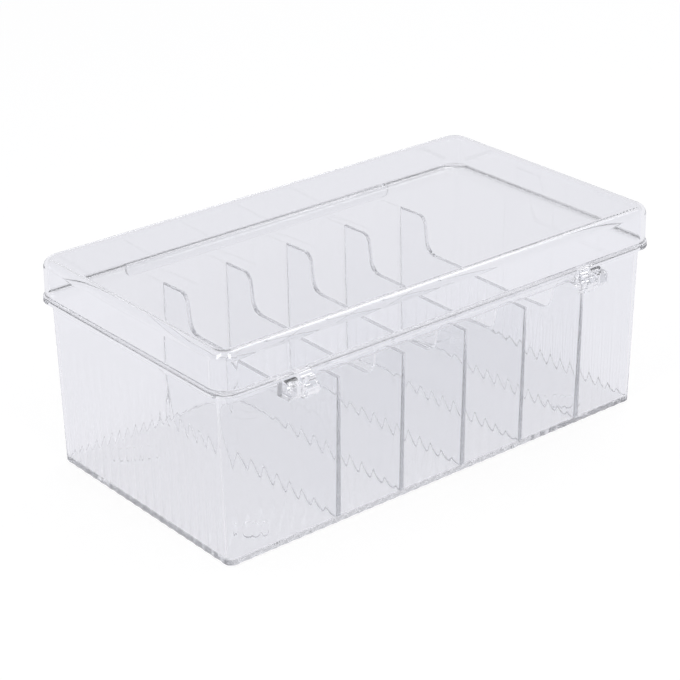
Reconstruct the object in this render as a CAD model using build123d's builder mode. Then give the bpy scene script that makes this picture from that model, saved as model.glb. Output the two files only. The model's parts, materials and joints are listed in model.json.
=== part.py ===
from build123d import *
from math import cos, radians, sin
import os

# Clear organizer box: a tray with six compartments and a hinged lid, in millimetres.
# The origin is on the surface the box stands on, under the middle of the tray.
# X runs along the box, the hinges are on the +Y side and +Z is up.

# Heights
foot_height = 0.8
floor_thickness = 2.0
seam_height = 85.6
total_height = 103.3
seam_gap = 0.3

# Tray wall, measured outside at the rim, where its straight faces would end
tray_length = 248.2
tray_width = 132.4
tray_corner_radius = 5.2
tray_wall = 1.6
tray_draft = 1.6
base_bevel = 0.6

# Rounded corner between the wall and the rim's underside
cove_radius = 3.4
cove_facets = 4

# Vertical flutes on the outside of the tray wall
flute_pitch = 6.75
ridge_width = 1.8
channel_depth = 0.3
flute_top_height = 68.0

# Rim round the top of the tray
rim_thickness = 2.5
rim_overhang = 4.4
rim_corner_radius = 11.5

# Lips that hang from the rim: one for the fingers, one between the hinges
lip_thickness = 1.8
front_lip_length = 160.0
front_lip_drop = 4.0
rail_drop = 2.6
rail_end_gap = 1.0
lip_end_rounding = 0.6

# Dividers
divider_count = 5
first_divider_x = 61.8
divider_pitch = 36.8
divider_top_thickness = 1.9
divider_base_thickness = 3.1
ear_height = 72.1
ear_width = 18.1
ear_slope = 2.6
ear_radius = 3.5
scoop_height = 53.2
scoop_radius = 7.0

# Feet
foot_radius = 6.5
foot_inset_x = 26.5
foot_inset_y = 18.6

# Lid
lid_ledge = 1.0
lid_corner_radius = 10.5
lid_wall = 1.9
lid_draft = 0.2
crown_radius = 3.8
crown_inner_radius = 1.9

# Snap hinges: a block and a pin on the tray, a hook on the lid
hinge_mid_right = 89.0
hinge_mid_left = -83.0
hinge_gap = 1.0
pin_height = 78.2
pin_reach = 6.6
pin_radius = 1.5
pin_clearance = 0.05
pin_tip = 0.9
pin_tip_bevel = 0.45
hook_width = 6.5
hook_radius = 4.5
hook_mouth = 2.5
hook_mouth_angle = 235.0
arm_thickness = 2.6
arm_outer_turn = 37.0
arm_inner_turn = 154.0
block_width = 6.5
block_reach = 10.1
block_depth = 8.4
block_slope = 1.2
block_bevel = 2.6
block_edge_radius = 0.7
notch_clearance = 0.4
notch_depth = 8.0

# Heights and half sizes that follow
wall_base = foot_height
floor_top = foot_height + floor_thickness
rim_top = seam_height - seam_gap
rim_base = rim_top - rim_thickness
cove_base = rim_base - cove_radius
half_width = tray_width / 2
rim_length = tray_length + 2 * rim_overhang
rim_width = tray_width + 2 * rim_overhang
lid_length = rim_length - 2 * lid_ledge
lid_width = rim_width - 2 * lid_ledge
foot_place_x = tray_length / 2 - tray_draft - foot_inset_x
foot_place_y = half_width - tray_draft - foot_inset_y
pin_y = half_width + pin_reach


def inset_at(height):
    """How far the drafted wall stands inside its own top edge at this height."""
    return tray_draft * (rim_base - height) / (rim_base - wall_base)


def inner_half_width(height):
    """Half the clear width between the long walls at this height."""
    return half_width - tray_wall - inset_at(height)


def draw_fluted_outline(inset, channel):
    """Outline of the wall: flat ridges and hollow channels along four sides, and plain round corners."""
    corner = tray_corner_radius - inset
    runs = (tray_length - 2 * tray_corner_radius, tray_width - 2 * tray_corner_radius)
    place = Vector(-runs[0] / 2, -half_width + inset)
    heading = Vector(1, 0)
    for side in range(4):
        run = runs[side % 2]
        channels = round((run - ridge_width) / flute_pitch)
        channel_width = (run - (channels + 1) * ridge_width) / channels
        for piece in range(2 * channels + 1):
            on_ridge = piece % 2 == 0
            following = place + heading * (ridge_width if on_ridge else channel_width)
            if on_ridge or not channel:
                Line(place, following)
            else:
                SagittaArc(place, following, channel)
            place = following
        turned = Vector(-heading.Y, heading.X)
        centre = place + turned * corner
        middle = centre + (heading - turned) * (corner * sin(radians(45)))
        following = centre + heading * corner
        ThreePointArc(place, middle, following)
        place = following
        heading = turned


def draw_notches():
    """Rectangles that let the two hooks pass the rim, open to the outside."""
    notch_y = lid_width / 2 - lid_wall - notch_clearance
    for hinge in hinges.values():
        with Locations((hinge["hook_start_x"] + hook_width / 2, notch_y + notch_depth / 2)):
            Rectangle(hook_width + 2 * notch_clearance, notch_depth)


def make_divider(centre_x):
    """Drafted plate across the tray, with an ear at each wall and a scoop between them."""
    foot_y = inner_half_width(floor_top)
    wall_y = inner_half_width(ear_height)
    ear_y = wall_y - ear_width
    scoop_y = ear_y - ear_slope
    with BuildPart() as divider:
        with BuildSketch(Plane.YZ.offset(centre_x)):
            with BuildLine():
                FilletPolyline(
                    (wall_y, ear_height),
                    (ear_y, ear_height),
                    (scoop_y, scoop_height),
                    (-scoop_y, scoop_height),
                    (-ear_y, ear_height),
                    (-wall_y, ear_height),
                    radius=(ear_radius, scoop_radius, scoop_radius, ear_radius),
                )
                Polyline(
                    (-wall_y, ear_height),
                    (-foot_y, floor_top),
                    (foot_y, floor_top),
                    (wall_y, ear_height),
                )
            make_face()
        extrude(amount=divider_base_thickness, both=True)
        with BuildSketch(Plane.XZ):
            with Locations((centre_x, 0)):
                Polygon(
                    (-divider_base_thickness / 2, floor_top),
                    (divider_base_thickness / 2, floor_top),
                    (divider_top_thickness / 2, ear_height),
                    (-divider_top_thickness / 2, ear_height),
                    align=None,
                )
        extrude(amount=tray_width, both=True, mode=Mode.INTERSECT)
    return divider.part


def make_lip(start_x, end_x, wall_face_y, drop):
    """Thin lip under the rim, from start_x to end_x, with its outer face at wall_face_y."""
    inward = -1 if wall_face_y > 0 else 1
    with BuildPart() as lip:
        with BuildSketch(Plane.XY.offset(rim_base)):
            with BuildLine():
                Polyline(
                    (start_x, wall_face_y),
                    (end_x, wall_face_y),
                    (end_x, wall_face_y + inward * lip_thickness),
                    (start_x, wall_face_y + inward * lip_thickness),
                    close=True,
                )
            make_face()
        extrude(amount=-drop)
        lower_corners = lip.edges().filter_by(Axis.Y).group_by(Axis.Z)[0]
        fillet(lower_corners, drop * lip_end_rounding)
        add(tray_shell.part, mode=Mode.SUBTRACT)
    return lip.part


def make_hinge_pin(block_face_x, inward):
    """Pin from the block's inner face, through the hook, to a bevelled tip."""
    pin_length = hinge_gap + hook_width + pin_tip
    pin_plane = Plane(origin=(block_face_x, pin_y, pin_height), z_dir=(inward, 0, 0))
    with BuildPart() as pin:
        with BuildSketch(pin_plane):
            Circle(pin_radius)
        extrude(amount=pin_length)
        tip = pin.faces().sort_by(Axis.X, reverse=inward > 0)[0]
        chamfer(tip.edges(), pin_tip_bevel)
    return pin.part


def make_hinge_block(outer_x):
    """Block that carries the pin: it hangs under the rim and is rooted in the wall."""
    root_top = half_width - inset_at(rim_base)
    block_base = rim_base - block_depth
    root_base = half_width - inset_at(block_base)
    front_y = half_width + block_reach
    with BuildPart() as block:
        with BuildSketch(Plane.YZ.offset(outer_x)):
            Polygon(
                (root_top, rim_base),
                (rim_width / 2, rim_base),
                (front_y, rim_base - block_slope),
                (front_y, block_base + block_bevel),
                (front_y - block_bevel, block_base),
                (root_base, block_base),
                align=None,
            )
        extrude(amount=block_width)
        outer_edges = block.edges().filter_by(Axis.X).group_by(Axis.Y)[-1]
        fillet(outer_edges, block_edge_radius)
        add(tray_shell.part, mode=Mode.SUBTRACT)
    return block.part


def make_hinge_hook(start_x):
    """Hook on the lid: a barrel snapped over the pin, and an arm up to the lid's lower edge."""
    arm_inner_y = lid_width / 2 - lid_wall
    arm_outer_y = arm_inner_y + arm_thickness
    mouth = radians(hook_mouth_angle)
    mouth_reach = hook_radius * 2
    arm_outer = radians(arm_outer_turn)
    arm_inner = radians(arm_inner_turn)
    with BuildPart() as hook:
        with BuildSketch(Plane.YZ.offset(start_x)):
            with Locations((pin_y, pin_height)):
                Circle(hook_radius)
            Polygon(
                (arm_inner_y, seam_height),
                (arm_outer_y, seam_height),
                (pin_y + hook_radius * cos(arm_outer), pin_height + hook_radius * sin(arm_outer)),
                (pin_y, pin_height),
                (pin_y + hook_radius * cos(arm_inner), pin_height + hook_radius * sin(arm_inner)),
                align=None,
            )
            with Locations((pin_y, pin_height)):
                Circle(pin_radius + pin_clearance, mode=Mode.SUBTRACT)
            middle = (pin_y + cos(mouth) * mouth_reach / 2, pin_height + sin(mouth) * mouth_reach / 2)
            with Locations(middle):
                Rectangle(mouth_reach, hook_mouth, rotation=hook_mouth_angle, mode=Mode.SUBTRACT)
        extrude(amount=hook_width)
    return hook.part


# Hinge places: each hinge has its block on the outer side and its hook on the inner side
hinges = {}
for side, mid_x, outward in (("right", hinge_mid_right, 1), ("left", hinge_mid_left, -1)):
    block_face_x = mid_x + outward * hinge_gap / 2
    hook_face_x = mid_x - outward * hinge_gap / 2
    hook_far_x = hook_face_x - outward * hook_width
    hinges[side] = {
        "outward": outward,
        "block_face_x": block_face_x,
        "block_start_x": min(block_face_x, block_face_x + outward * block_width),
        "hook_start_x": min(hook_face_x, hook_far_x),
        "hook_far_x": hook_far_x,
    }

# Tray shell: a floor, and fluted walls that lean out a little and then sweep out under the rim
wall_sections = (
    (wall_base, inset_at(wall_base) + base_bevel, channel_depth),
    (wall_base + base_bevel, inset_at(wall_base + base_bevel), channel_depth),
    (flute_top_height, inset_at(flute_top_height), 0),
    (cove_base, inset_at(cove_base), 0),
)
with BuildPart() as tray_shell:
    for height, inset, channel in wall_sections:
        with BuildSketch(Plane.XY.offset(height)):
            with BuildLine():
                draw_fluted_outline(inset, channel)
            make_face()
    loft(ruled=True)
    for facet in range(cove_facets + 1):
        turn = radians(90 * facet / cove_facets)
        height = cove_base + cove_radius * sin(turn)
        outset = cove_radius * (1 - cos(turn)) - inset_at(height)
        with BuildSketch(Plane.XY.offset(height)):
            RectangleRounded(tray_length + 2 * outset, tray_width + 2 * outset, tray_corner_radius + outset)
    loft(ruled=True)
    for height in (floor_top, rim_base):
        step = inset_at(height) + tray_wall
        with BuildSketch(Plane.XY.offset(height)):
            RectangleRounded(tray_length - 2 * step, tray_width - 2 * step, tray_corner_radius - step)
    loft(ruled=True, mode=Mode.SUBTRACT)
    with BuildSketch(Plane.XY.offset(cove_base)):
        draw_notches()
    extrude(amount=cove_radius, mode=Mode.SUBTRACT)
tray_shell.part.label = "tray_shell"

# Rim: a flat band round the top of the wall, notched where the hooks pass it
with BuildPart() as tray_rim:
    with BuildSketch(Plane.XY.offset(rim_base)):
        RectangleRounded(rim_length, rim_width, rim_corner_radius)
        RectangleRounded(
            tray_length - 2 * tray_wall,
            tray_width - 2 * tray_wall,
            tray_corner_radius - tray_wall,
            mode=Mode.SUBTRACT,
        )
    extrude(amount=rim_thickness)
    with BuildSketch(Plane.XY.offset(rim_base)):
        draw_notches()
    extrude(amount=rim_thickness, mode=Mode.SUBTRACT)
tray_rim.part.label = "tray_rim"

# Lips under the rim
front_lip = make_lip(-front_lip_length / 2, front_lip_length / 2, -rim_width / 2, front_lip_drop)
front_lip.label = "front_lip"
hinge_rail = make_lip(
    hinges["left"]["hook_far_x"] + rail_end_gap,
    hinges["right"]["hook_far_x"] - rail_end_gap,
    rim_width / 2,
    rail_drop,
)
hinge_rail.label = "hinge_rail"

# Dividers, counted from the wide compartment
dividers = []
for number in range(divider_count):
    divider = make_divider(first_divider_x - number * divider_pitch)
    divider.label = f"divider_{number + 1}"
    dividers.append(divider)

# Feet
feet = []
for name, across, along in (
    ("foot_front_left", -1, -1),
    ("foot_front_right", 1, -1),
    ("foot_back_left", -1, 1),
    ("foot_back_right", 1, 1),
):
    with BuildPart() as foot:
        with BuildSketch():
            with Locations((across * foot_place_x, along * foot_place_y)):
                Circle(foot_radius)
        extrude(amount=foot_height)
    foot.part.label = name
    feet.append(foot.part)

# Lid: a shallow cap with a rounded crown
with BuildPart() as lid_cavity:
    for height, draft in ((seam_height, 0), (total_height - lid_wall, lid_draft)):
        step = lid_wall + draft
        with BuildSketch(Plane.XY.offset(height)):
            RectangleRounded(lid_length - 2 * step, lid_width - 2 * step, lid_corner_radius - step)
    loft(ruled=True)
    fillet(lid_cavity.edges().group_by(Axis.Z)[-1], crown_inner_radius)
with BuildPart() as lid_shell:
    for height, draft in ((seam_height, 0), (total_height, lid_draft)):
        with BuildSketch(Plane.XY.offset(height)):
            RectangleRounded(lid_length - 2 * draft, lid_width - 2 * draft, lid_corner_radius - draft)
    loft(ruled=True)
    fillet(lid_shell.edges().group_by(Axis.Z)[-1], crown_radius)
    add(lid_cavity.part, mode=Mode.SUBTRACT)
lid_shell.part.label = "lid_shell"

# Hinges
hinge_parts = []
for side, hinge in hinges.items():
    block = make_hinge_block(hinge["block_start_x"])
    block.label = f"hinge_block_{side}"
    pin = make_hinge_pin(hinge["block_face_x"], -hinge["outward"])
    pin.label = f"hinge_pin_{side}"
    hook = make_hinge_hook(hinge["hook_start_x"])
    hook.label = f"hinge_hook_{side}"
    hinge_parts += [block, pin, hook]

# One file for each piece
os.makedirs("parts", exist_ok=True)
pieces = [tray_shell.part, tray_rim.part, front_lip, hinge_rail, lid_shell.part]
for piece in pieces + dividers + feet + hinge_parts:
    export_step(piece, f"parts/{piece.label}.step")
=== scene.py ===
"""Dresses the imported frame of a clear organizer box: a fluted tray with dividers and a snap-hinged lid."""

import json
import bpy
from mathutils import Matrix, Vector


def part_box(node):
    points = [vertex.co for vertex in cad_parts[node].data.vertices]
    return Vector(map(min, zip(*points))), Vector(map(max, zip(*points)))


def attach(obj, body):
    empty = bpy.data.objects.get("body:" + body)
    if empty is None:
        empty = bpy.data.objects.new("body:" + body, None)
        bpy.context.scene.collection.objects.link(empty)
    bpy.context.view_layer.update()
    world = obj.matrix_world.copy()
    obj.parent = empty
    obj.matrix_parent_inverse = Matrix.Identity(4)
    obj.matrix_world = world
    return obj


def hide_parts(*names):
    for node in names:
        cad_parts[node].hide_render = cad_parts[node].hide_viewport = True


bl_info = {
    "name": "Clear Organizer Box",
    "version": (1, 0, 0),
    "blender": (4, 5, 0),
    "location": "3D View > Sidebar > Organizer",
    "description": "Builds the tray and lid mouldings of a clear compartment box over its packed frame",
    "category": "Add Mesh",
}

from math import atan2, cos, degrees, pi, radians, sin

import bmesh
import bpy
from bpy.props import FloatProperty, FloatVectorProperty, IntProperty, PointerProperty
from mathutils import Euler, Vector

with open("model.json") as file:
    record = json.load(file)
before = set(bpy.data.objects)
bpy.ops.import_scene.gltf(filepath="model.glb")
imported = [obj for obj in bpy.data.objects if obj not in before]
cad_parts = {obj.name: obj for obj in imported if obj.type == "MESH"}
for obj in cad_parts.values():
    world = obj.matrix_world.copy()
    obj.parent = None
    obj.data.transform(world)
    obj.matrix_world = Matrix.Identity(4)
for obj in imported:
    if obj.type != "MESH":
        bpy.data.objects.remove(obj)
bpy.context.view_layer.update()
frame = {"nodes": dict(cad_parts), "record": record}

MM = 0.001
HAIR = 0.001 * MM  # less than any length that is made here
SHARP_ANGLE = radians(40)
STRONG_FACES = 100  # large faces decide the shading where they meet rounds
SENSOR_WIDTH = 36.0  # millimetres
FAR_CLIP = 100.0  # metres
X, Y, Z = range(3)

# How finely rounds are cut
CHANNEL_STEPS = 7
RIDGE_STEPS = 4
CORNER_STEPS = 14
LID_CORNER_STEPS = 28
EDGE_SEGMENTS = 3
NOSE_STEPS = 6
FOOT_STEPS = 5
FILLET_STEPS = 8
ROLL_STEPS = 10
CROWN_STEPS = 12
LID_EDGE_STEPS = 4
LIP_BEND_STEPS = 8
FLUTE_ROWS = 16
PLAIN_WALL_ROWS = (0.35, 0.7)  # shares of the height between flutes and cove
INNER_WALL_ROWS = (0.25, 0.5, 0.75)  # shares of the height between the rim's roll and the floor
EAR_STEPS = 8
SCOOP_STEPS = 12
FOOT_SIDES = 48
PIN_SIDES = 32
BARREL_STEPS = 26
BARREL_BACK_STEPS = 12
BORE_STEPS = 28

# Octaves of the noise in the plastic
FLOW_DETAIL = 2.0
HAZE_DETAIL = 3.0

# Where the room darkens: how far a direction faces the camera, and how steeply it rises
BACK_FADE = (-0.1, 0.75)
CEILING_FADE = (0.12, 0.45)
BACK_AIM_HEIGHT = 0.25
WHITE = (1.0, 1.0, 1.0)

DIVIDERS = sorted(name for name in frame["nodes"] if name.startswith("divider_"))
FEET = sorted(name for name in frame["nodes"] if name.startswith("foot_"))
SIDES = ("right", "left")


def length(name, text, default, **limits):
    """Size property in metres."""
    return FloatProperty(name=name, description=text, default=default, unit="LENGTH", precision=5, **limits)


def number(name, text, default, **limits):
    """Property without a unit, such as a brightness."""
    return FloatProperty(name=name, description=text, default=default, **limits)


def share_value(name, text, default):
    """Property from 0 to 1."""
    return FloatProperty(name=name, description=text, default=default, subtype="FACTOR", min=0, max=1)


def angle_value(name, text, default):
    """Angle property in radians."""
    return FloatProperty(name=name, description=text, default=default, subtype="ANGLE")


def vector_value(name, text, default, subtype, **limits):
    """Property of two or three numbers."""
    return FloatVectorProperty(
        name=name, description=text, default=default, size=len(default), subtype=subtype, **limits
    )


def colour_value(name, text, default):
    """Colour property."""
    return vector_value(name, text, default, "COLOR", min=0, max=1)


def place_value(name, text, default):
    """Place in metres."""
    return vector_value(name, text, default, "TRANSLATION")


def sides_value(name, text, default):
    """Lengths of two sides in metres."""
    return vector_value(name, text, default, "XYZ", unit="LENGTH")


class OrganizerTraySizes(bpy.types.PropertyGroup):
    """Sizes of the tray moulding that its frame doesn't give."""

    wall: length("Wall", "Thickness of the tray's walls", 1.6 * MM)
    draft: length("Draft", "How far each wall leans in from the rim to the base", 1.6 * MM)
    corner: length("Corner radius", "Outer radius of the wall's upright corners under the rim", 5.2 * MM)
    rim_corner: length("Rim corner radius", "Radius of the rim's corners", 10.5 * MM)
    base_round: length("Base rounding", "Radius round the outer foot of the walls", 0.2 * MM)
    floor_round: length("Floor rounding", "Radius between floor and walls, inside", 0.9 * MM)
    rim_round: length("Rim rounding", "Radius of the rim's lower outer edge", 0.42 * MM)
    rim_slope: length("Rim slope", "How far the rim's outer face leans in towards its top", 0.3 * MM)
    rim_top_round: length("Rim top rounding", "Radius of the rim's upper outer edge", 0.12 * MM)
    rim_roll: length("Rim roll", "Radius of the rim's inner edge", 4.5 * MM)
    edge_round: length("Edge rounding", "Radius of the edges of the lips and feet", 0.45 * MM)
    lip_bend: share_value("Lip bend", "Radius of a lip's lower corners as a share of its height", 0.9)
    rim_fillet: length("Rim cove", "Radius between wall and rim, outside", 3.4 * MM)
    flute_pitch: length("Flute pitch", "Distance from one upright flute to the next", 6.75 * MM)
    ridge_width: length("Ridge width", "Width of the ridge between two channels", 1.8 * MM)
    channel_depth: length("Channel depth", "Depth of a channel at the foot of the wall", 0.25 * MM)
    ridge_height: length("Ridge height", "Height of a ridge at the foot of the wall", 0.10 * MM)
    flute_top: length("Flute top", "Height above the ground where the flutes fade out", 68.0 * MM)


class OrganizerDividerSizes(bpy.types.PropertyGroup):
    """Sizes of the dividers."""

    top_thickness: length("Top thickness", "Thickness at the top of the ears", 1.9 * MM)
    ear_width: length("Ear width", "From the wall to the inner corner of an ear", 18.1 * MM)
    ear_slope: length("Ear slope", "How far the ear's inner edge leans towards the scoop", 2.6 * MM)
    ear_round: length("Ear rounding", "Radius of the ear's inner corner", 3.5 * MM)
    scoop_height: length("Scoop height", "Height of the scoop's bottom above the ground", 53.2 * MM)
    scoop_round: length("Scoop rounding", "Radius between the ear and the scoop's bottom", 7.0 * MM)
    edge_round: length("Edge rounding", "Radius along the edges", 0.6 * MM)
    seat_gap: length("Seat gap", "Hair's breadth between a divider and the walls and floor", 0.02 * MM)


class OrganizerHingeSizes(bpy.types.PropertyGroup):
    """Sizes of the hooks, blocks and pins."""

    hook_radius: length("Hook radius", "Outer radius of a hook's barrel", 4.5 * MM)
    hook_bore: length("Hook bore", "Radius of the bore round the pin", 1.55 * MM)
    hook_mouth: length("Hook mouth", "Width of the snap opening", 2.5 * MM)
    mouth_angle: angle_value("Mouth angle", "Direction of the snap opening", radians(235))
    arm_outer_turn: angle_value("Outer turn", "Where the arm's outside leaves the barrel", radians(37))
    arm_inner_turn: angle_value("Inner turn", "Where the arm's inside leaves the barrel", radians(154))
    notch_clearance: length("Notch clearance", "Room between a hook and its notch in the rim", 0.4 * MM)
    arm_thickness: length("Arm thickness", "Thickness of the arm between barrel and lid", 2.6 * MM)
    arm_bevel: length("Arm bevel", "How far the arm's outer top corner is cut down", 0.7 * MM)
    edge_round: length("Edge rounding", "Radius of the edges of hooks and blocks", 0.35 * MM)
    block_slope: length("Block slope", "How far a block's top falls towards its front", 1.2 * MM)
    block_round: length("Block rounding", "Radius of a block's lower front edge", 2.6 * MM)


class OrganizerLidSizes(bpy.types.PropertyGroup):
    """Sizes of the lid moulding that its frame doesn't give."""

    wall: length("Wall", "Thickness of the lid", 1.9 * MM)
    draft: length("Draft", "How far each side leans in towards the top", 0.2 * MM)
    corner: length("Corner radius", "Outer radius of the lid's upright corners", 9.5 * MM)
    crown: length("Crown radius", "Outer radius between sides and top", 4.3 * MM)
    crown_inner: length("Inner crown radius", "Inner radius between sides and top", 2.4 * MM)
    edge_round: length("Edge rounding", "Radius of the lower edge, inside", 0.35 * MM)
    edge_crisp: length("Crisp edge", "Radius of the lower edge, outside", 0.12 * MM)


class OrganizerPlastic(bpy.types.PropertyGroup):
    """Look of the clear plastic."""

    tint: colour_value("Tint", "Colour of the plastic", (0.975, 0.978, 0.985))
    drift: share_value("Colour drift", "Share of the tint that is left where it drifts most", 0.995)
    lid_shift: number("Lid shift", "How much brighter the lid's tint is than the tray's", 0.004)
    index: number("Refractive index", "Of clear polystyrene", 1.585, min=1)
    gloss: number("Roughness", "Roughness of the moulded surface", 0.012, min=0)
    least_haze: share_value("Least haze", "Share of the roughness that is there everywhere", 0.6)
    haze_rise: share_value("Haze rise", "Share of the roughness that fine haze adds", 0.8)
    haze_scale: number("Haze scale", "How fine the haze is, in spots for each metre", 240.0)
    flow_scale: number("Flow scale", "How close the flow waves stand, for each metre", 18.0)
    flow_strength: share_value("Flow strength", "Strength of the flow waves", 0.25)
    depth_colour: colour_value("Depth colour", "Tint of a long way through the plastic", (0.40, 0.41, 0.45))
    depth_density: number("Density", "How soon the depth colour shows, for each metre", 1.8, min=0)
    # painted shade: the dividers take the depth colour about three times as soon as the tray, so seen edge
    # on they show dark bands; only part of this is the plastic's real absorption
    divider_absorption_and_shade: number("Divider density", "The same for the dividers, seen edge on", 5.2, min=0)
    ripple: length("Ripple height", "Height of the faint waves that moulding leaves", 0.004 * MM)


class OrganizerStage(bpy.types.PropertyGroup):
    """Camera, floor and light."""

    camera_place: place_value("Camera place", "Where the camera stands", (0.58055, 0.70344, 0.47448))
    camera_turn: vector_value(
        "Camera turn",
        "How the camera is turned",
        (radians(64.910), radians(0.631), radians(140.564)),
        "EULER",
    )
    lens: number("Lens", "Focal length in millimetres", 113.42, subtype="DISTANCE_CAMERA")
    bounces: IntProperty(name="Bounces", description="How often light may turn in the plastic", default=128)
    floor_size: length("Floor size", "Side of the floor", 12.0)
    floor_gap: length("Floor gap", "How far the floor lies under the feet", 0.03 * MM)
    paper: colour_value("Paper", "Colour of the paper as the plastic shows it", (0.905, 0.902, 0.94))
    lift: number("Lift", "What the floor's glow gains where the camera sees it", 0.04)
    shade: share_value("Shade", "Share of the floor that takes the shadow", 0.14)
    dark_side: share_value("Dark side", "Brightness of the room behind the camera", 0.30)
    ceiling: share_value("Ceiling", "Brightness of the room overhead", 0.78)
    softbox_place: place_value("Softbox place", "Where the softbox hangs", (-0.70, -0.25, 1.05))
    softbox_size: sides_value("Softbox size", "Length and width of the softbox", (0.6, 0.4))
    softbox_glow: number("Softbox glow", "Brightness of the softbox, where 1 is about white", 2.5)
    strip_right_place: place_value("Right strip", "Centre of the right strip light", (0.17, 0.77, 0.62))
    strip_left_place: place_value("Left strip", "Centre of the left strip light", (0.80, 0.245, 0.62))
    strip_size: sides_value("Strip size", "Width and height of a strip light", (0.2, 1.1))
    strip_glow: number("Strip glow", "Brightness of the strip lights, where 1 is about white", 4.5)


class Signal:
    """An output socket of a shader tree that takes part in Python sums and products."""

    def __init__(self, tree, socket):
        self.tree = tree
        self.socket = socket

    def math(self, operation, first, second):
        return self.tree.node("ShaderNodeMath", {"operation": operation}, (first, second)).out()

    def __add__(self, other):
        return self.math("ADD", self, other)

    def __radd__(self, other):
        return self.math("ADD", other, self)

    def __sub__(self, other):
        return self.math("SUBTRACT", self, other)

    def __rsub__(self, other):
        return self.math("SUBTRACT", other, self)

    def __mul__(self, other):
        return self.math("MULTIPLY", self, other)

    def __rmul__(self, other):
        return self.math("MULTIPLY", other, self)


class PlacedNode:
    """A node in a shader tree, with its outputs as signals."""

    def __init__(self, tree, node):
        self.tree = tree
        self.node = node

    def out(self, name=0):
        return Signal(self.tree, self.node.outputs[name])


class ShaderTree:
    """The emptied node tree of a material or world."""

    def __init__(self, owner):
        owner.use_nodes = True
        self.tree = owner.node_tree
        self.tree.nodes.clear()

    def node(self, kind, settings=None, sockets=None):
        """Adds a node: its settings first, then values or links for its sockets, by name or in order."""
        made = self.tree.nodes.new(kind)
        for name, value in (settings or {}).items():
            setattr(made, name, value)
        pairs = sockets.items() if isinstance(sockets, dict) else enumerate(sockets or ())
        for name, value in pairs:
            if isinstance(value, Signal):
                self.tree.links.new(value.socket, made.inputs[name])
            else:
                made.inputs[name].default_value = value
        return PlacedNode(self, made)

    def mixed(self, factor, first, second):
        """Colour between two others: inputs 6 and 7 of the mix node, and its output 2."""
        sockets = {"Factor": factor, 6: (*first, 1.0), 7: (*second, 1.0)}
        return self.node("ShaderNodeMix", {"data_type": "RGBA"}, sockets).out(2)

    def noise(self, place, scale, detail):
        """Soft noise, at a scale for each metre."""
        sockets = {"Vector": place, "Scale": scale, "Detail": detail}
        return self.node("ShaderNodeTexNoise", None, sockets).out()


def clear_plastic(name, look, tint_shift, density):
    """Clear moulded polystyrene with faint flow waves, fine haze and a breath of colour drift."""
    material = bpy.data.materials.new(name)
    tree = ShaderTree(material)
    place = tree.node("ShaderNodeTexCoord").out("Object")
    flow = tree.noise(place, look.flow_scale, FLOW_DETAIL)
    haze = tree.noise(place, look.haze_scale, HAZE_DETAIL)
    tint = Vector(look.tint) + Vector((tint_shift,) * 3)
    colour = tree.mixed(flow, tint, tint * look.drift)
    rough = look.gloss * look.least_haze + haze * (look.gloss * look.haze_rise)
    waves = tree.node(
        "ShaderNodeBump", None, {"Height": flow, "Strength": look.flow_strength, "Distance": look.ripple}
    ).out()
    shader = tree.node(
        "ShaderNodeBsdfPrincipled",
        None,
        {
            "Base Color": colour,
            "Roughness": rough,
            "IOR": look.index,
            "Transmission Weight": 1.0,
            "Normal": waves,
        },
    ).out()
    depth = tree.node(
        "ShaderNodeVolumeAbsorption", None, {"Color": (*look.depth_colour, 1.0), "Density": density}
    ).out()
    tree.node("ShaderNodeOutputMaterial", None, {"Surface": shader, "Volume": depth})
    return material


def arc(centre, radius, start, end, steps):
    """Points on an arc, angles in degrees, both ends included."""
    angles = (radians(start + (end - start) * step / steps) for step in range(steps + 1))
    return [(centre[0] + radius * cos(a), centre[1] + radius * sin(a)) for a in angles]


def flute_stations(run, sizes):
    """Stations along a flat side: share of the run, and how far the surface stands out there.

    Ridges and channels follow each other, and each has a parabola for its section.
    """
    channels = round((run - sizes.ridge_width) / sizes.flute_pitch)
    channel_width = (run - (channels + 1) * sizes.ridge_width) / channels
    stations = []
    start = 0.0
    for stretch in range(2 * channels + 1):
        if stretch % 2:
            width, rise, steps = channel_width, -sizes.channel_depth, CHANNEL_STEPS
        else:
            width, rise, steps = sizes.ridge_width, sizes.ridge_height, RIDGE_STEPS
        for step in range(steps):
            share = step / steps
            stations.append(((start + width * share) / run, rise * 4 * share * (1 - share)))
        start += width
    return stations


def rounded_ring(half_x, half_y, radius, height, stations, flute=0.0, corner_steps=CORNER_STEPS):
    """Closed ring of points round a rounded rectangle, with a share of the flutes on its flat sides."""
    ring = []
    place = Vector((-half_x + radius, -half_y, height))
    heading = Vector((1, 0, 0))
    for side in range(4):
        run = 2 * ((half_x, half_y)[side % 2] - radius)
        turned = Vector((-heading.y, heading.x, 0))
        for share, rise in stations[side % 2]:
            ring.append(place + heading * (run * share) - turned * (rise * flute))
        place = place + heading * run
        centre = place + turned * radius
        for step in range(corner_steps):
            angle = pi / 2 * step / corner_steps
            ring.append(centre + (heading * sin(angle) - turned * cos(angle)) * radius)
        place = centre + heading * radius
        heading = turned
    return ring


def solid_from_rings(name, rings):
    """Closed mesh through rings of equal counts, capped at both ends."""
    mesh = bmesh.new()
    loops = [[mesh.verts.new(point) for point in ring] for ring in rings]
    count = len(loops[0])
    for lower, upper in zip(loops, loops[1:]):
        for i in range(count):
            mesh.faces.new((lower[i], lower[(i + 1) % count], upper[(i + 1) % count], upper[i]))
    mesh.faces.new(reversed(loops[0]))
    mesh.faces.new(loops[-1])
    return new_object(name, mesh)


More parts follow.
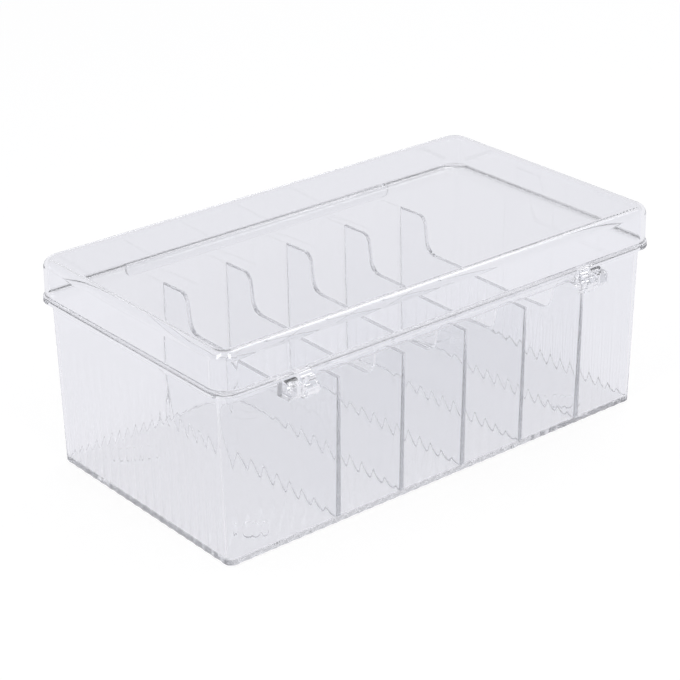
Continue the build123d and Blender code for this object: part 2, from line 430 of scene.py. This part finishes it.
def prism(name, outline, place, rounded=None, edge_round=0.0):
    """Closed mesh between two copies of an outline.

    place(point, side) gives a corner in space for side 0 or 1. rounded(edge) picks the edges to round.
    """
    mesh = bmesh.new()
    ends = [[mesh.verts.new(place(point, side)) for point in outline] for side in (0, 1)]
    count = len(outline)
    for i in range(count):
        j = (i + 1) % count
        mesh.faces.new((ends[0][i], ends[0][j], ends[1][j], ends[1][i]))
    mesh.faces.new(reversed(ends[0]))
    mesh.faces.new(ends[1])
    if edge_round:
        chosen = [edge for edge in mesh.edges if rounded(edge)]
        bmesh.ops.bevel(
            mesh,
            geom=chosen,
            offset=edge_round,
            offset_type="OFFSET",
            segments=EDGE_SEGMENTS,
            profile=0.5,
            affect="EDGES",
        )
    return new_object(name, mesh)


def between(axis, start, stop):
    """Places a prism's outline across an axis, at two values on it."""

    def place(point, side):
        corner = list(point)
        corner.insert(axis, (start, stop)[side])
        return Vector(corner)

    return place


def lies_across(axis):
    """Picks a prism's end edges and leaves those along its axis."""

    def rounded(edge):
        start, stop = (vertex.co[axis] for vertex in edge.verts)
        return abs(start - stop) < HAIR

    return rounded


def block(name, low, high):
    """Sharp-edged block between two corners."""
    outline = [(low.x, low.z), (high.x, low.z), (high.x, high.z), (low.x, high.z)]
    return prism(name, outline, between(Y, low.y, high.y))


def new_object(name, mesh):
    """Object of a finished bmesh, with its faces turned outwards."""
    bmesh.ops.recalc_face_normals(mesh, faces=mesh.faces)
    data = bpy.data.meshes.new(name)
    mesh.to_mesh(data)
    mesh.free()
    made = bpy.data.objects.new(name, data)
    bpy.context.scene.collection.objects.link(made)
    return made


def combine(base_name, operation, member_names):
    """Mesh of the base with its members added or taken away. All their objects go."""
    base = bpy.data.objects[base_name]
    for member_name in member_names:
        step = base.modifiers.new(member_name, "BOOLEAN")
        step.operation = operation
        step.solver = "MANIFOLD"
        step.object = bpy.data.objects[member_name]
    bpy.context.view_layer.update()
    combined = bpy.data.meshes.new_from_object(base.evaluated_get(bpy.context.evaluated_depsgraph_get()))
    for old in [base_name, *member_names]:
        bpy.data.objects.remove(bpy.data.objects[old])
    return combined


def weld(name, base_name, member_names, material):
    """Joins members into the base as one moulding, with smooth rounds and true flats."""
    joined = combine(base_name, "UNION", member_names)
    joined.name = name
    joined.materials.clear()
    joined.materials.append(material)
    joined.polygons.foreach_set("use_smooth", [True] * len(joined.polygons))
    joined.set_sharp_from_angle(angle=SHARP_ANGLE)
    moulding = bpy.data.objects.new(name, joined)
    bpy.context.scene.collection.objects.link(moulding)
    flats = moulding.modifiers.new("flats", "WEIGHTED_NORMAL")
    flats.keep_sharp = True
    flats.weight = STRONG_FACES
    return moulding


class ORGANIZER_OT_tray_walls(bpy.types.Operator):
    """Floor, fluted walls and rim of the tray"""

    bl_idname = "organizer.tray_walls"
    bl_label = "Tray walls"

    def execute(self, context):
        sizes = context.scene.organizer_tray
        low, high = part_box("tray_shell")
        high -= Vector((sizes.rim_fillet, sizes.rim_fillet, 0))
        rim_low, rim_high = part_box("tray_rim")
        floor_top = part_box(DIVIDERS[0])[0].z
        overhang = rim_high.x - high.x
        rise = high.z - low.z
        stations = [flute_stations(2 * (half - sizes.corner), sizes) for half in (high.x, high.y)]

        def inset_at(height):
            return sizes.draft * (high.z - height) / rise

        def ring(inset, height, flute=0.0):
            outside = max(0.0, -inset) / overhang
            radius = sizes.corner - max(0.0, inset) + outside * (sizes.rim_corner - sizes.corner)
            return rounded_ring(high.x - inset, high.y - inset, radius, height, stations, flute)

        flute_foot = low.z + sizes.base_round
        rings = []
        foot_centre = (inset_at(flute_foot) + sizes.base_round, flute_foot)
        for inset, height in arc(foot_centre, sizes.base_round, 270, 180, FOOT_STEPS):
            rings.append(ring(inset, height, 1.0))
        for row in range(1, FLUTE_ROWS + 1):
            share = row / FLUTE_ROWS
            height = flute_foot + (sizes.flute_top - flute_foot) * share
            rings.append(ring(inset_at(height), height, 1.0 - share))
        for share in PLAIN_WALL_ROWS:
            height = sizes.flute_top + (high.z - sizes.flute_top) * share
            rings.append(ring(inset_at(height), height))
        fillet = sizes.rim_fillet
        roll = sizes.rim_roll
        nose = sizes.rim_round
        brow = sizes.rim_top_round
        profile = arc((-fillet, high.z - fillet), fillet, 0, 90, FILLET_STEPS)
        lean = degrees(atan2(sizes.rim_slope, rim_high.z - rim_low.z))
        profile += arc((-overhang + nose, rim_low.z + nose), nose, 270, 180 - lean, NOSE_STEPS)
        brow_inset = -overhang + sizes.rim_slope + brow
        profile += arc((brow_inset, rim_high.z - brow), brow, 180 - lean, 90, NOSE_STEPS)
        profile += arc((sizes.wall - roll, rim_high.z - roll), roll, 90, 0, ROLL_STEPS)
        roll_foot = rim_high.z - roll
        for share in INNER_WALL_ROWS:
            height = roll_foot + (floor_top - roll_foot) * share
            profile.append((sizes.wall + inset_at(height), height))
        heel = sizes.floor_round
        heel_inset = sizes.wall + inset_at(floor_top + heel) + heel
        profile += arc((heel_inset, floor_top + heel), heel, 180, 270, FOOT_STEPS)
        rings += [ring(inset, height) for inset, height in profile]
        solid_from_rings("tray_walls", rings)
        return {"FINISHED"}


class ORGANIZER_OT_notches(bpy.types.Operator):
    """Notches in the rim and its cove that let the lid's hooks pass"""

    bl_idname = "organizer.notches"
    bl_label = "Hook notches"

    def execute(self, context):
        scene = context.scene
        clearance = scene.organizer_hinge.notch_clearance
        cutters = []
        for side in SIDES:
            low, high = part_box(f"hinge_hook_{side}")
            low.x -= clearance
            high.x += clearance
            low.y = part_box("lid_shell")[1].y - scene.organizer_lid.wall - clearance
            low.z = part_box("tray_shell")[1].z - scene.organizer_tray.rim_fillet - clearance
            high.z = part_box("tray_rim")[1].z + clearance
            cutters.append(f"notch_{side}")
            block(cutters[-1], low, high)
        walls = combine("tray_walls", "DIFFERENCE", cutters)
        scene.collection.objects.link(bpy.data.objects.new("tray_walls", walls))
        return {"FINISHED"}


class ORGANIZER_OT_dividers(bpy.types.Operator):
    """Dividers with an ear at each wall and a scoop between"""

    bl_idname = "organizer.dividers"
    bl_label = "Dividers"

    def execute(self, context):
        sizes = context.scene.organizer_dividers
        tray = context.scene.organizer_tray
        shell_low, shell_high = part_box("tray_shell")
        look = context.scene.organizer_plastic
        # the dividers get a denser copy of the plastic than the tray: real absorption plus painted shade on
        # their edge-on bands
        material = clear_plastic("divider_plastic_with_shade", look, 0.0, look.divider_absorption_and_shade)
        for name in DIVIDERS:
            low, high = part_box(name)
            middle = (low.x + high.x) / 2
            base_half = (high.x - low.x) / 2
            taper = (base_half - sizes.top_thickness / 2) / (high.z - low.z)
            lean = tray.draft / (shell_high.z - shell_low.z)
            ear_y = high.y - sizes.ear_width
            scoop_y = ear_y - sizes.ear_slope
            foot_z = low.z + sizes.seat_gap
            ear_top = (high.y, high.z)
            ear_corner = (ear_y, high.z)
            scoop_corner = (scoop_y, sizes.scoop_height)
            scoop_middle = (0, sizes.scoop_height)
            side = [
                (high.y - sizes.seat_gap - lean * (high.z - foot_z), foot_z),
                (high.y - sizes.seat_gap, high.z),
                *rounded_corner(ear_top, ear_corner, scoop_corner, sizes.ear_round, EAR_STEPS),
                *rounded_corner(ear_corner, scoop_corner, scoop_middle, sizes.scoop_round, SCOOP_STEPS),
            ]
            outline = side + [(-y, z) for y, z in reversed(side)]

            def place(point, end):
                half = base_half - taper * (point[1] - low.z)
                return Vector((middle + half * (1 if end else -1), point[0], point[1]))

            def on_face(edge):
                a, b = (vertex.co.x - middle for vertex in edge.verts)
                return a * b > 0

            prism(name + "_blank", outline, place, on_face, sizes.edge_round)
            plate = weld(name + "_plate", name + "_blank", (), material)
            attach(plate, "tray")
            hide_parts(name)
        return {"FINISHED"}


def rounded_corner(before, corner, after, radius, steps):
    """Points of the arc that rounds the corner between two straight runs."""
    corner = Vector(corner)
    first = (Vector(before) - corner).normalized()
    second = (Vector(after) - corner).normalized()
    half = first.angle(second) / 2
    centre = corner + (first + second).normalized() * (radius / sin(half))
    start = corner + first * (radius * cos(half) / sin(half)) - centre
    end = corner + second * (radius * cos(half) / sin(half)) - centre
    clockwise = start.angle_signed(end)
    points = []
    for step in range(steps + 1):
        turned = -clockwise * step / steps
        points.append(
            (
                centre.x + start.x * cos(turned) - start.y * sin(turned),
                centre.y + start.x * sin(turned) + start.y * cos(turned),
            )
        )
    return points


class ORGANIZER_OT_lips(bpy.types.Operator):
    """Finger lip at the front and rail between the hinges"""

    bl_idname = "organizer.lips"
    bl_label = "Lips"

    def execute(self, context):
        sizes = context.scene.organizer_tray
        for name in ("front_lip", "hinge_rail"):
            low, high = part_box(name)
            bend = sizes.lip_bend * (high.z - low.z)
            top = high.z + 2 * sizes.edge_round
            outline = [(high.x, top), (low.x, top)]
            outline += arc((low.x + bend, low.z + bend), bend, 180, 270, LIP_BEND_STEPS)
            outline += arc((high.x - bend, low.z + bend), bend, 270, 360, LIP_BEND_STEPS)
            prism(
                name + "_bar",
                outline,
                between(Y, low.y, high.y),
                lies_across(Y),
                sizes.edge_round,
            )
        return {"FINISHED"}


class ORGANIZER_OT_feet(bpy.types.Operator):
    """Round feet under the floor"""

    bl_idname = "organizer.feet"
    bl_label = "Feet"

    def execute(self, context):
        sizes = context.scene.organizer_tray
        for name in FEET:
            low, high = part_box(name)
            middle = (low + high) / 2
            radius = (high.x - low.x) / 2
            outline = arc((middle.x, middle.y), radius, 0, 360, FOOT_SIDES)[:-1]
            prism(
                name + "_pad",
                outline,
                between(Z, low.z, high.z + sizes.edge_round),
                lambda edge: max(vertex.co.z for vertex in edge.verts) < low.z + HAIR,
                sizes.edge_round,
            )
        return {"FINISHED"}


class ORGANIZER_OT_hinge_blocks(bpy.types.Operator):
    """Blocks and pins that the lid turns on"""

    bl_idname = "organizer.hinge_blocks"
    bl_label = "Hinge blocks and pins"

    def execute(self, context):
        sizes = context.scene.organizer_hinge
        wall_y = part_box("tray_shell")[1].y - context.scene.organizer_tray.rim_fillet
        rim_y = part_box("tray_rim")[1].y
        overlap = sizes.edge_round
        for side in SIDES:
            low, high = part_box(f"hinge_block_{side}")
            root_y = low.y - overlap
            outline = [
                (root_y, high.z + overlap),
                (rim_y - overlap, high.z + overlap),
                (high.y, high.z - sizes.block_slope),
                (high.y, low.z + sizes.block_round),
                (high.y - sizes.block_round, low.z),
                (root_y, low.z),
            ]
            prism(
                f"hinge_block_{side}_body",
                outline,
                between(X, low.x, high.x),
                lambda edge: max(vertex.co.y for vertex in edge.verts) > wall_y + overlap,
                sizes.edge_round,
            )
            pin_low, pin_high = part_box(f"hinge_pin_{side}")
            outward = 1 if side == "right" else -1
            pin_low.x -= overlap if outward < 0 else 0
            pin_high.x += overlap if outward > 0 else 0
            pin_middle = (pin_low + pin_high) / 2
            outline = arc((pin_middle.y, pin_middle.z), (pin_high.z - pin_low.z) / 2, 0, 360, PIN_SIDES)[:-1]
            prism(
                f"hinge_pin_{side}_body",
                outline,
                between(X, pin_low.x, pin_high.x),
                lies_across(X),
                sizes.edge_round,
            )
        return {"FINISHED"}


class ORGANIZER_OT_tray_moulding(bpy.types.Operator):
    """Joins walls, lips, feet, blocks and pins into the tray moulding"""

    bl_idname = "organizer.tray_moulding"
    bl_label = "Join the tray"

    def execute(self, context):
        members = ["front_lip_bar", "hinge_rail_bar"]
        members += [name + "_pad" for name in FEET]
        members += [f"hinge_{part}_{side}_body" for part in ("block", "pin") for side in SIDES]
        look = context.scene.organizer_plastic
        material = clear_plastic("tray_plastic", look, 0.0, look.depth_density)
        tray = weld("tray_moulding", "tray_walls", members, material)
        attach(tray, "tray")
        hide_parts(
            *(node for node in frame["record"]["behaviour"]["bodies"]["tray"] if node not in DIVIDERS)
        )
        return {"FINISHED"}


class ORGANIZER_OT_lid_cap(bpy.types.Operator):
    """Top and sides of the lid"""

    bl_idname = "organizer.lid_cap"
    bl_label = "Lid cap"

    def execute(self, context):
        sizes = context.scene.organizer_lid
        low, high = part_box("lid_shell")
        edge = sizes.edge_round
        crisp = sizes.edge_crisp
        crown = sizes.crown
        hollow = sizes.crown_inner
        plain_sides = [[(0.0, 0.0)]] * 2

        def ring(inset, height):
            half_x, half_y, radius = high.x - inset, high.y - inset, sizes.corner - inset
            return rounded_ring(half_x, half_y, radius, height, plain_sides, corner_steps=LID_CORNER_STEPS)

        inner_top = high.z - sizes.wall
        profile = arc((sizes.draft + crown, high.z - crown), crown, 90, 180, CROWN_STEPS)
        profile += arc((crisp, low.z + crisp), crisp, 180, 270, LID_EDGE_STEPS)
        profile += arc((sizes.wall - edge, low.z + edge), edge, 270, 360, LID_EDGE_STEPS)
        inner_foot = sizes.wall + sizes.draft
        profile += arc((inner_foot + hollow, inner_top - hollow), hollow, 180, 90, ROLL_STEPS)
        solid_from_rings("lid_cap", [ring(inset, height) for inset, height in profile])
        return {"FINISHED"}


class ORGANIZER_OT_lid_hooks(bpy.types.Operator):
    """Snap hooks under the lid's edge"""

    bl_idname = "organizer.lid_hooks"
    bl_label = "Lid hooks"

    def execute(self, context):
        sizes = context.scene.organizer_hinge
        lid_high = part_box("lid_shell")[1]
        arm_y = lid_high.y - context.scene.organizer_lid.wall
        radius = sizes.hook_radius
        half_mouth = sizes.hook_mouth / 2
        mouth = degrees(sizes.mouth_angle)
        outer_half = degrees(half_mouth / radius)
        inner_half = degrees(half_mouth / sizes.hook_bore)
        outer_turn = degrees(sizes.arm_outer_turn)
        inner_turn = degrees(sizes.arm_inner_turn)
        on_end = lies_across(X)
        for side in SIDES:
            low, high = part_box(f"hinge_hook_{side}")
            pin_low, pin_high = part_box(f"hinge_pin_{side}")
            pin = (pin_low + pin_high) / 2
            centre = (pin.y, pin.z)

            def outside_bore(edge):
                nearest = min((vertex.co.yz - pin.yz).length for vertex in edge.verts)
                return on_end(edge) and nearest > sizes.hook_bore + sizes.edge_round

            outline = arc(centre, radius, mouth + outer_half, 360 + outer_turn, BARREL_STEPS)
            outline += [
                (arm_y + sizes.arm_thickness, high.z - sizes.arm_bevel),
                (lid_high.y - sizes.edge_round, high.z + sizes.edge_round),
                (arm_y + sizes.edge_round, high.z + sizes.edge_round),
            ]
            outline += arc(centre, radius, inner_turn, mouth - outer_half, BARREL_BACK_STEPS)
            outline += arc(centre, sizes.hook_bore, mouth - inner_half, mouth + inner_half - 360, BORE_STEPS)
            prism(
                f"hinge_hook_{side}_body",
                outline,
                between(X, low.x, high.x),
                outside_bore,
                sizes.edge_round,
            )
        return {"FINISHED"}


class ORGANIZER_OT_lid_moulding(bpy.types.Operator):
    """Joins the cap and the hooks into the lid moulding"""

    bl_idname = "organizer.lid_moulding"
    bl_label = "Join the lid"

    def execute(self, context):
        members = [f"hinge_hook_{side}_body" for side in SIDES]
        look = context.scene.organizer_plastic
        material = clear_plastic("lid_plastic", look, look.lid_shift, look.depth_density)
        lid = weld("lid_moulding", "lid_cap", members, material)
        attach(lid, "lid")
        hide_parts(*frame["record"]["behaviour"]["bodies"]["lid"])
        return {"FINISHED"}


class ORGANIZER_OT_stage(bpy.types.Operator):
    """Camera, white floor and soft studio light"""

    bl_idname = "organizer.stage"
    bl_label = "Stage"

    def execute(self, context):
        scene = context.scene
        stage = scene.organizer_stage
        camera = bpy.data.objects.new("camera", bpy.data.cameras.new("camera"))
        camera.location = stage.camera_place
        camera.rotation_euler = Euler(stage.camera_turn)
        camera.data.sensor_width = SENSOR_WIDTH
        camera.data.lens = stage.lens
        camera.data.clip_end = FAR_CLIP
        scene.collection.objects.link(camera)
        scene.camera = camera
        self.make_floor(stage)
        self.make_world(scene, stage)
        self.hang_light(scene, "softbox", stage.softbox_place, stage.softbox_size, stage.softbox_glow)
        self.hang_light(scene, "strip_right", stage.strip_right_place, stage.strip_size, stage.strip_glow)
        self.hang_light(scene, "strip_left", stage.strip_left_place, stage.strip_size, stage.strip_glow)
        scene.view_settings.view_transform = "Standard"
        scene.cycles.max_bounces = stage.bounces
        scene.cycles.transmission_bounces = stage.bounces
        scene.cycles.glossy_bounces = stage.bounces
        return {"FINISHED"}

    def fade(self, tree, value, limits, end):
        """Falls smoothly from 1 to the end value while the value passes its two limits."""
        low, high = limits
        sockets = {"Value": value, "From Min": low, "From Max": high, "To Min": 1.0, "To Max": end}
        return tree.node("ShaderNodeMapRange", {"interpolation_type": "SMOOTHSTEP"}, sockets).out()

    def make_floor(self, stage):
        """Sheet of paper that glows, but for the share of it that takes the shadow."""
        half = stage.floor_size / 2
        mesh = bmesh.new()
        corners = [(-half, -half), (half, -half), (half, half), (-half, half)]
        mesh.faces.new([mesh.verts.new((x, y, -stage.floor_gap)) for x, y in corners])
        floor = new_object("floor", mesh)
        material = bpy.data.materials.new("floor_paper")
        tree = ShaderTree(material)
        path = tree.node("ShaderNodeLightPath")
        direct = path.out("Is Camera Ray")
        rays = direct + path.out("Is Glossy Ray") + path.out("Is Transmission Ray")
        seen = tree.node("ShaderNodeClamp", None, (rays,)).out()
        colour = tree.mixed(direct, stage.paper, WHITE)
        paper = tree.node("ShaderNodeBsdfDiffuse", None, {"Color": colour}).out()
        strength = 1 + direct * stage.lift
        glow = tree.node("ShaderNodeEmission", None, {"Color": colour, "Strength": strength}).out()
        mixed = tree.node("ShaderNodeMixShader", None, (seen * (1 - stage.shade), paper, glow)).out()
        tree.node("ShaderNodeOutputMaterial", None, {"Surface": mixed})
        floor.data.materials.append(material)

    def make_world(self, scene, stage):
        """Room of pale paper, darker above and behind the camera, and white where the camera sees it."""
        world = bpy.data.worlds.new("studio")
        scene.world = world
        tree = ShaderTree(world)
        direction = tree.node("ShaderNodeTexCoord").out("Generated")
        toward = Vector((stage.camera_place[0], stage.camera_place[1], BACK_AIM_HEIGHT)).normalized()
        facing = tree.node("ShaderNodeVectorMath", {"operation": "DOT_PRODUCT"}, (direction, toward))
        dark = self.fade(tree, facing.out("Value"), BACK_FADE, stage.dark_side)
        height = tree.node("ShaderNodeSeparateXYZ", None, (direction,)).out("Z")
        ceiling = self.fade(tree, height, CEILING_FADE, stage.ceiling)
        direct = tree.node("ShaderNodeLightPath").out("Is Camera Ray")
        colour = tree.mixed(direct, stage.paper, WHITE)
        strength = direct + (1 - direct) * dark * ceiling
        light = tree.node("ShaderNodeBackground", None, {"Color": colour, "Strength": strength}).out()
        tree.node("ShaderNodeOutputWorld", None, {"Surface": light})

    def hang_light(self, scene, name, place, size, glow):
        """Area lamp aimed at the box and unseen by the camera itself."""
        lamp = bpy.data.lights.new(name, "AREA")
        lamp.shape = "RECTANGLE"
        lamp.size, lamp.size_y = size
        lamp.energy = glow * pi * lamp.size * lamp.size_y  # watts that give this glow at this size
        light = bpy.data.objects.new(name, lamp)
        light.location = place
        light.rotation_euler = (-Vector(place)).to_track_quat("-Z", "Y").to_euler()
        light.visible_camera = False
        scene.collection.objects.link(light)


class ORGANIZER_PT_panel(bpy.types.Panel):
    """Lists the steps in the sidebar of the 3D view"""

    bl_idname = "ORGANIZER_PT_panel"
    bl_label = "Clear organizer box"
    bl_space_type = "VIEW_3D"
    bl_region_type = "UI"
    bl_category = "Organizer"

    def draw(self, context):
        for step in STEPS:
            self.layout.operator(step.bl_idname)


STEPS = (
    ORGANIZER_OT_tray_walls,
    ORGANIZER_OT_notches,
    ORGANIZER_OT_dividers,
    ORGANIZER_OT_lips,
    ORGANIZER_OT_feet,
    ORGANIZER_OT_hinge_blocks,
    ORGANIZER_OT_tray_moulding,
    ORGANIZER_OT_lid_cap,
    ORGANIZER_OT_lid_hooks,
    ORGANIZER_OT_lid_moulding,
    ORGANIZER_OT_stage,
)
GROUPS = {
    "organizer_tray": OrganizerTraySizes,
    "organizer_dividers": OrganizerDividerSizes,
    "organizer_hinge": OrganizerHingeSizes,
    "organizer_lid": OrganizerLidSizes,
    "organizer_plastic": OrganizerPlastic,
    "organizer_stage": OrganizerStage,
}


def register():
    for cls in (*GROUPS.values(), *STEPS, ORGANIZER_PT_panel):
        bpy.utils.register_class(cls)
    for name, group in GROUPS.items():
        setattr(bpy.types.Scene, name, PointerProperty(type=group))


def unregister():
    for name in GROUPS:
        delattr(bpy.types.Scene, name)
    for cls in (ORGANIZER_PT_panel, *reversed(STEPS), *GROUPS.values()):
        bpy.utils.unregister_class(cls)


def main():
    register()
    for step in STEPS:
        group, action = step.bl_idname.split(".")
        getattr(getattr(bpy.ops, group), action)()


if __name__ == "__main__":
    main()
